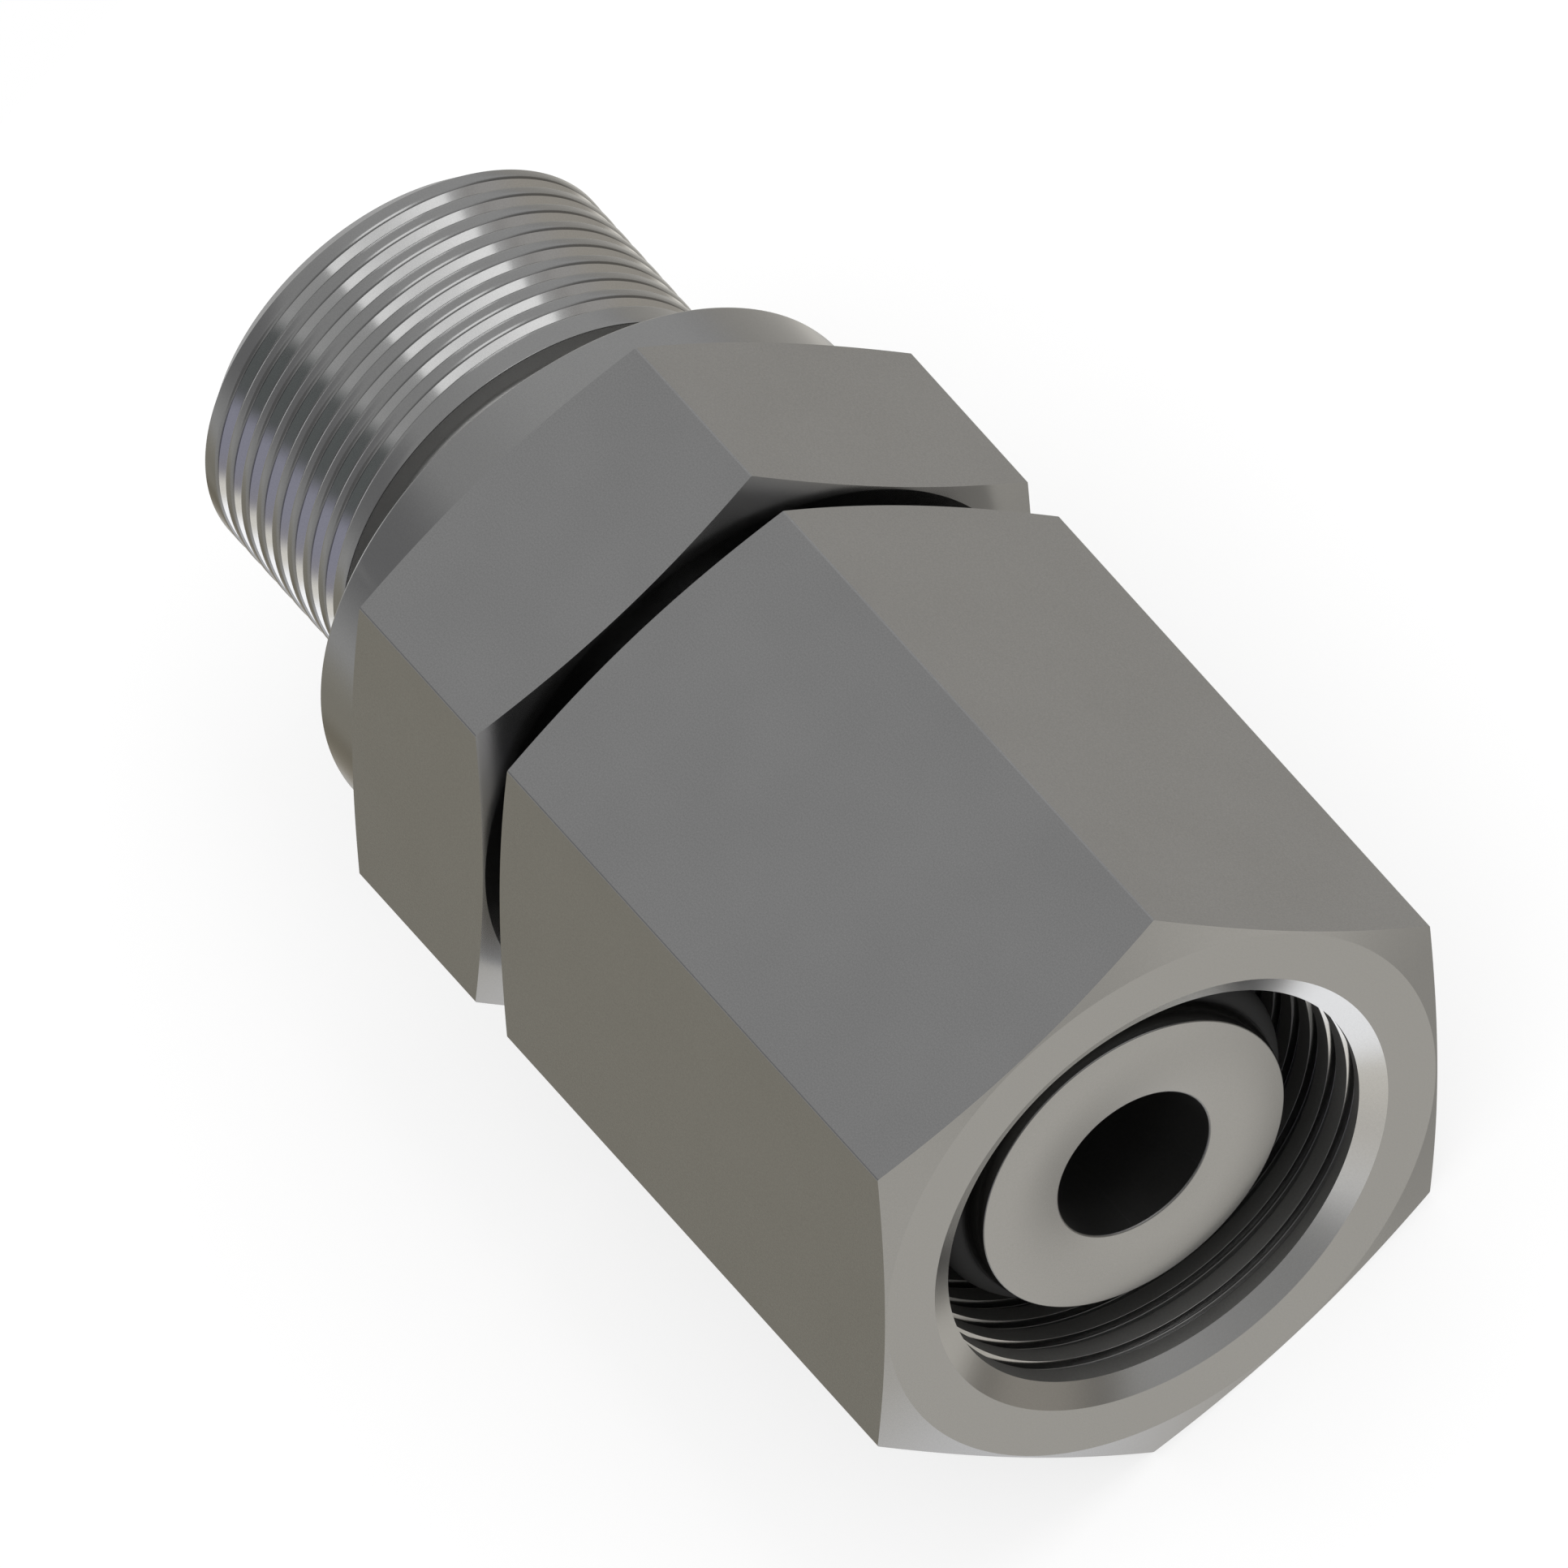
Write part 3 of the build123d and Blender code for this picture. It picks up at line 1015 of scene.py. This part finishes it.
def make_floor(stage, low):
    """A round white floor that shows white where no shadow falls, and that metal doesn't mirror."""
    mesh = bpy.data.meshes.new("floor")
    work = bmesh.new()
    bmesh.ops.create_circle(work, cap_ends=True, segments=96, radius=stage.floor_radius)
    work.to_mesh(mesh)
    work.free()
    floor = bpy.data.objects.new("floor", mesh)
    floor.location = (PART_MIDDLE.x, 0.0, low)
    bpy.context.scene.collection.objects.link(floor)
    material = bpy.data.materials.new("white_floor")
    material.use_nodes = True
    tree = material.node_tree
    tree.nodes.remove(tree.nodes["Principled BSDF"])
    leave = tree.nodes["Material Output"]
    matt = tree.nodes.new("ShaderNodeBsdfDiffuse")
    matt.inputs["Color"].default_value = (0.50, 0.50, 0.50, 1.0)
    plain = tree.nodes.new("ShaderNodeEmission")
    plain.inputs["Strength"].default_value = 0.68
    both = tree.nodes.new("ShaderNodeAddShader")
    tree.links.new(matt.outputs[0], both.inputs[0])
    tree.links.new(plain.outputs[0], both.inputs[1])
    unlit = tree.nodes.new("ShaderNodeMixShader")
    tree.links.new(any_seen_ray(tree), unlit.inputs[0])
    tree.links.new(matt.outputs[0], unlit.inputs[1])
    tree.links.new(both.outputs[0], unlit.inputs[2])
    tree.links.new(unlit.outputs[0], leave.inputs["Surface"])
    mesh.materials.append(material)
    floor.visible_glossy = False


def any_seen_ray(tree):
    """A factor of 1 for rays from the camera, off glossy metal or through glass."""
    path = tree.nodes.new("ShaderNodeLightPath")
    first = math_node(tree, "MAXIMUM", path.outputs["Is Camera Ray"], path.outputs["Is Glossy Ray"])
    return math_node(tree, "MAXIMUM", first, path.outputs["Is Transmission Ray"])


def math_node(tree, operation, first, second):
    """A math node on two sockets or numbers."""
    node = tree.nodes.new("ShaderNodeMath")
    node.operation = operation
    for index, value in enumerate((first, second)):
        if isinstance(value, (int, float)):
            node.inputs[index].default_value = value
        else:
            tree.links.new(value, node.inputs[index])
    return node.outputs[0]


def map_range(tree, value, source, target):
    """Maps a socket's value from one range to another with soft ends."""
    node = tree.nodes.new("ShaderNodeMapRange")
    node.interpolation_type = "SMOOTHSTEP"
    tree.links.new(value, node.inputs["Value"])
    node.inputs["From Min"].default_value = source[0]
    node.inputs["From Max"].default_value = source[1]
    node.inputs["To Min"].default_value = target[0]
    node.inputs["To Max"].default_value = target[1]
    return node.outputs[0]


def make_world(stage):
    """White where the camera sees it, a soft studio where metal mirrors it, and plain light for the rest."""
    world = bpy.data.worlds.new("studio")
    world.use_nodes = True
    tree = world.node_tree
    light = tree.nodes["Background"]
    light.inputs["Color"].default_value = WHITE
    light.inputs["Strength"].default_value = stage.studio_light
    where = tree.nodes.new("ShaderNodeTexCoord")
    direction = tree.nodes.new("ShaderNodeSeparateXYZ")
    tree.links.new(where.outputs["Generated"], direction.inputs[0])
    level = map_range(tree, direction.outputs["Y"], (-0.10, 0.50), (0.82, 1.0))
    ground = map_range(tree, direction.outputs["Z"], (-0.05, -0.30), (0.0, 1.0))
    shade = colour_blend(tree, ground, WHITE, FLOOR_TINT)
    for azimuth, elevation, inner, outer, left in SCREENS:
        turn = math.radians(azimuth)
        rise = math.radians(elevation)
        facing = tree.nodes.new("ShaderNodeVectorMath")
        facing.operation = "DOT_PRODUCT"
        facing.inputs[1].default_value = (
            math.cos(turn) * math.cos(rise), math.sin(turn) * math.cos(rise), math.sin(rise),
        )
        tree.links.new(where.outputs["Generated"], facing.inputs[0])
        reach = (math.cos(math.radians(outer)), math.cos(math.radians(inner)))
        cover = map_range(tree, facing.outputs["Value"], reach, (0.0, 1.0))
        product = tree.nodes.new("ShaderNodeVectorMath")
        product.operation = "MULTIPLY"
        tree.links.new(shade, product.inputs[0])
        tree.links.new(colour_blend(tree, cover, WHITE, (*left, 1.0)), product.inputs[1])
        shade = product.outputs["Vector"]
    mirrored = tree.nodes.new("ShaderNodeBackground")
    tree.links.new(shade, mirrored.inputs["Color"])
    tree.links.new(level, mirrored.inputs["Strength"])
    white = tree.nodes.new("ShaderNodeBackground")
    white.inputs["Color"].default_value = WHITE
    path = tree.nodes.new("ShaderNodeLightPath")
    glossy = tree.nodes.new("ShaderNodeMixShader")
    tree.links.new(path.outputs["Is Glossy Ray"], glossy.inputs[0])
    tree.links.new(white.outputs[0], glossy.inputs[1])
    tree.links.new(mirrored.outputs[0], glossy.inputs[2])
    mixed = tree.nodes.new("ShaderNodeMixShader")
    tree.links.new(any_seen_ray(tree), mixed.inputs[0])
    tree.links.new(light.outputs[0], mixed.inputs[1])
    tree.links.new(glossy.outputs[0], mixed.inputs[2])
    tree.links.new(mixed.outputs[0], tree.nodes["World Output"].inputs["Surface"])
    bpy.context.scene.world = world


def colour_blend(tree, factor, first, second):
    """A blend of two colours by a socket's factor."""
    node = tree.nodes.new("ShaderNodeMix")
    node.data_type = "RGBA"
    node.clamp_result = False
    tree.links.new(factor, node.inputs["Factor"])
    for index, value in ((6, first), (7, second)):
        node.inputs[index].default_value = value
    return node.outputs[2]


def make_camera(stage):
    """A camera without perspective, at the picture's viewing angle and framing."""
    data = bpy.data.cameras.new("view")
    data.type = "ORTHO"
    data.ortho_scale = stage.image_scale
    right = PICTURE_RIGHT.normalized()
    up = (PICTURE_UP - right * PICTURE_UP.dot(right)).normalized()
    back = right.cross(up)
    scale = stage.image_scale / PICTURE_WIDTH
    mark = Vector((NUT_BOX[1].x, 0.0, 0.0))
    across = (NUT_FRONT_ACROSS - PICTURE_WIDTH / 2) * scale
    down = (NUT_FRONT_DOWN - PICTURE_WIDTH / 2) * scale
    centre = mark - right * across + up * down
    camera = bpy.data.objects.new("view", data)
    bpy.context.scene.collection.objects.link(camera)
    place = centre + back * CAMERA_DISTANCE
    camera.matrix_world = Matrix((
        (right.x, up.x, back.x, place.x),
        (right.y, up.y, back.y, place.y),
        (right.z, up.z, back.z, place.z),
        (0.0, 0.0, 0.0, 1.0),
    ))
    data.clip_start = 0.01
    data.clip_end = 5.0
    bpy.context.scene.camera = camera


class FITTING_PT_panel(bpy.types.Panel):
    """Lists the pieces and their sizes"""

    bl_idname = "FITTING_PT_panel"
    bl_label = "Swivel stud fitting"
    bl_space_type = "VIEW_3D"
    bl_region_type = "UI"
    bl_category = "Fitting"

    def draw(self, context):
        layout = self.layout
        for owner in (context.scene.fitting_shape, context.scene.fitting_finish, context.scene.fitting_stage):
            box = layout.box()
            for name in type(owner).__annotations__:
                box.prop(owner, name)
        for operator in OPERATORS:
            layout.operator(operator.bl_idname)


OPERATORS = (
    FITTING_OT_finishes,
    FITTING_OT_stud_body,
    FITTING_OT_swivel_nut,
    FITTING_OT_rings,
    FITTING_OT_stage,
)
GROUPS = (FittingShape, FittingFinish, FittingStage)


def register():
    """Registers every class and hangs the property groups on the scene."""
    for each in (*GROUPS, *OPERATORS, FITTING_PT_panel):
        bpy.utils.register_class(each)
    bpy.types.Scene.fitting_shape = bpy.props.PointerProperty(type=FittingShape)
    bpy.types.Scene.fitting_finish = bpy.props.PointerProperty(type=FittingFinish)
    bpy.types.Scene.fitting_stage = bpy.props.PointerProperty(type=FittingStage)


def unregister():
    """Takes the property groups off the scene and unregisters every class."""
    del bpy.types.Scene.fitting_stage
    del bpy.types.Scene.fitting_finish
    del bpy.types.Scene.fitting_shape
    for each in reversed((*GROUPS, *OPERATORS, FITTING_PT_panel)):
        bpy.utils.unregister_class(each)


def main():
    """Builds every piece and the stage."""
    register()
    bpy.ops.fitting.finishes()
    bpy.ops.fitting.stud_body()
    bpy.ops.fitting.swivel_nut()
    bpy.ops.fitting.rings()
    bpy.ops.fitting.stage()


if __name__ == "__main__":
    main()
